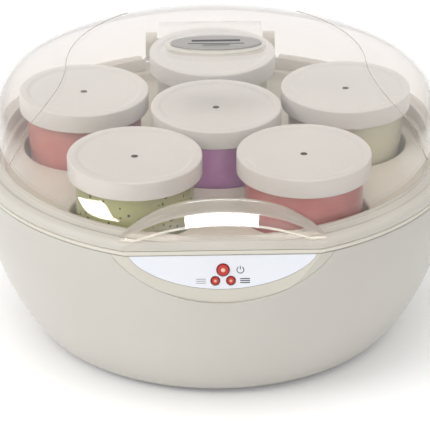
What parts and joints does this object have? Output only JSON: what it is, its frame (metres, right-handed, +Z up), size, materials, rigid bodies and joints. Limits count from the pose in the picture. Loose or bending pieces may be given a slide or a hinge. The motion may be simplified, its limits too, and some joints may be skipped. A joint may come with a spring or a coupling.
{
  "type": "yogurt maker",
  "caption": "Countertop yogurt maker: lidded glass jars stand in wells of a heated round tray under a hinged clear dome, with push buttons on a leaning front panel.",
  "frame": {"origin": "centre of the footprint, on the table under the feet", "axes": "+Z up, -Y towards the user at the button panel, +Y towards the lid hinge, +X to the user's right"},
  "size_m": [0.252, 0.2492, 0.1555],
  "materials": {
    "shell_abs": "moulded ABS, satin gloss, warm white",
    "deck_abs": "moulded ABS, satin gloss, cream",
    "clear_acrylic": "clear polycarbonate moulding, high gloss",
    "jar_glass": "clear pressed glass",
    "cap_white": "satin white polypropylene",
    "yogurt_purple": "blueberry yogurt behind glass, glossy and smooth",
    "yogurt_white": "plain yogurt behind glass, glossy and smooth",
    "yogurt_pink": "strawberry yogurt behind glass, glossy and smooth",
    "yogurt_green": "kiwi yogurt with dark specks behind glass",
    "yogurt_rose": "cherry yogurt behind glass, glossy and smooth",
    "yogurt_pale": "pear yogurt behind glass, glossy and smooth",
    "badge_silver": "thin brushed foil badge",
    "panel_print": "printed film, satin",
    "button_red": "translucent red plastic, gloss",
    "rubber_black": "moulded rubber, matt",
    "screw_steel": "zinc plated steel",
    "heater_aluminium": "rolled sheet",
    "insulation": "needled felt",
    "switch_black": "black nylon",
    "circuit_board": "green fibre board"
  },
  "bodies": {
    "base": {"base_plate": "shell_abs", "base_screw_1": "screw_steel", "base_screw_2": "screw_steel", "base_screw_3": "screw_steel", "base_screw_4": "screw_steel", "body_shell": "shell_abs", "control_board": "circuit_board", "cord_inlet": "rubber_black", "foot_1": "rubber_black", "foot_2": "rubber_black", "foot_3": "rubber_black", "foot_4": "rubber_black", "front_bezel": "deck_abs", "heater_element": "screw_steel", "heater_plate": "heater_aluminium", "hinge_pin_left": "screw_steel", "hinge_pin_right": "screw_steel", "insulation_pad": "insulation", "panel_label": "panel_print", "power_supply": "circuit_board", "power_switch": "switch_black", "thermal_fuse": "screw_steel", "thermostat": "switch_black", "thick_switch": "switch_black", "thin_switch": "switch_black", "top_deck": "deck_abs"},
    "lid": {"lid_dome": "clear_acrylic", "lid_badge": "badge_silver"},
    "power_key": {"power_button": "button_red"},
    "thin_key": {"thin_button": "button_red"},
    "thick_key": {"thick_button": "button_red"},
    "jar_body_1": {"jar_1": "jar_glass", "yogurt_1": "yogurt_purple"},
    "jar_cap_1": {"jar_lid_1": "cap_white"},
    "jar_body_2": {"jar_2": "jar_glass", "yogurt_2": "yogurt_white"},
    "jar_cap_2": {"jar_lid_2": "cap_white"},
    "jar_body_3": {"jar_3": "jar_glass", "yogurt_3": "yogurt_pink"},
    "jar_cap_3": {"jar_lid_3": "cap_white"},
    "jar_body_4": {"jar_4": "jar_glass", "yogurt_4": "yogurt_green"},
    "jar_cap_4": {"jar_lid_4": "cap_white"},
    "jar_body_5": {"jar_5": "jar_glass", "yogurt_5": "yogurt_rose"},
    "jar_cap_5": {"jar_lid_5": "cap_white"},
    "jar_body_6": {"jar_6": "jar_glass", "yogurt_6": "yogurt_pale"},
    "jar_cap_6": {"jar_lid_6": "cap_white"}
  },
  "joints": [
    {"name": "lid_hinge", "type": "hinge", "parent": "base", "child": "lid", "pos_m": [0, 0.11665, 0.1066], "axis": [-1, 0, 0], "range_deg": [0, 95]},
    {"name": "power_press", "type": "slide", "parent": "base", "child": "power_key", "axis": [0, 0.9777, -0.2102], "range_m": [0, 0.0008], "stiffness_N_per_m": 600, "springref_m": -0.0005},
    {"name": "thin_press", "type": "slide", "parent": "base", "child": "thin_key", "axis": [0, 0.9777, -0.2102], "range_m": [0, 0.0008], "stiffness_N_per_m": 600, "springref_m": -0.0005},
    {"name": "thick_press", "type": "slide", "parent": "base", "child": "thick_key", "axis": [0, 0.9777, -0.2102], "range_m": [0, 0.0008], "stiffness_N_per_m": 600, "springref_m": -0.0005},
    {"name": "jar_lift_1", "type": "slide", "parent": "base", "child": "jar_body_1", "axis": [0, 0, 1], "range_m": [0, 0.022]},
    {"name": "jar_cap_twist_1", "type": "hinge", "parent": "jar_body_1", "child": "jar_cap_1", "pos_m": [0, -0.00185, 0.1095], "axis": [0, 0, 1], "range_deg": [0, 90]},
    {"name": "jar_lift_2", "type": "slide", "parent": "base", "child": "jar_body_2", "axis": [0, 0, 1], "range_m": [0, 0.004]},
    {"name": "jar_cap_twist_2", "type": "hinge", "parent": "jar_body_2", "child": "jar_cap_2", "pos_m": [0, 0.07055, 0.1095], "axis": [0, 0, 1], "range_deg": [0, 90]},
    {"name": "jar_lift_3", "type": "slide", "parent": "base", "child": "jar_body_3", "axis": [0, 0, 1], "range_m": [0, 0.004]},
    {"name": "jar_cap_twist_3", "type": "hinge", "parent": "jar_body_3", "child": "jar_cap_3", "pos_m": [-0.06886, 0.02052, 0.1095], "axis": [0, 0, 1], "range_deg": [0, 90]},
    {"name": "jar_lift_4", "type": "slide", "parent": "base", "child": "jar_body_4", "axis": [0, 0, 1], "range_m": [0, 0.004]},
    {"name": "jar_cap_twist_4", "type": "hinge", "parent": "jar_body_4", "child": "jar_cap_4", "pos_m": [-0.04256, -0.06042, 0.1095], "axis": [0, 0, 1], "range_deg": [0, 90]},
    {"name": "jar_lift_5", "type": "slide", "parent": "base", "child": "jar_body_5", "axis": [0, 0, 1], "range_m": [0, 0.004]},
    {"name": "jar_cap_twist_5", "type": "hinge", "parent": "jar_body_5", "child": "jar_cap_5", "pos_m": [0.04256, -0.06042, 0.1095], "axis": [0, 0, 1], "range_deg": [0, 90]},
    {"name": "jar_lift_6", "type": "slide", "parent": "base", "child": "jar_body_6", "axis": [0, 0, 1], "range_m": [0, 0.004]},
    {"name": "jar_cap_twist_6", "type": "hinge", "parent": "jar_body_6", "child": "jar_cap_6", "pos_m": [0.06886, 0.02052, 0.1095], "axis": [0, 0, 1], "range_deg": [0, 90]}
  ]
}
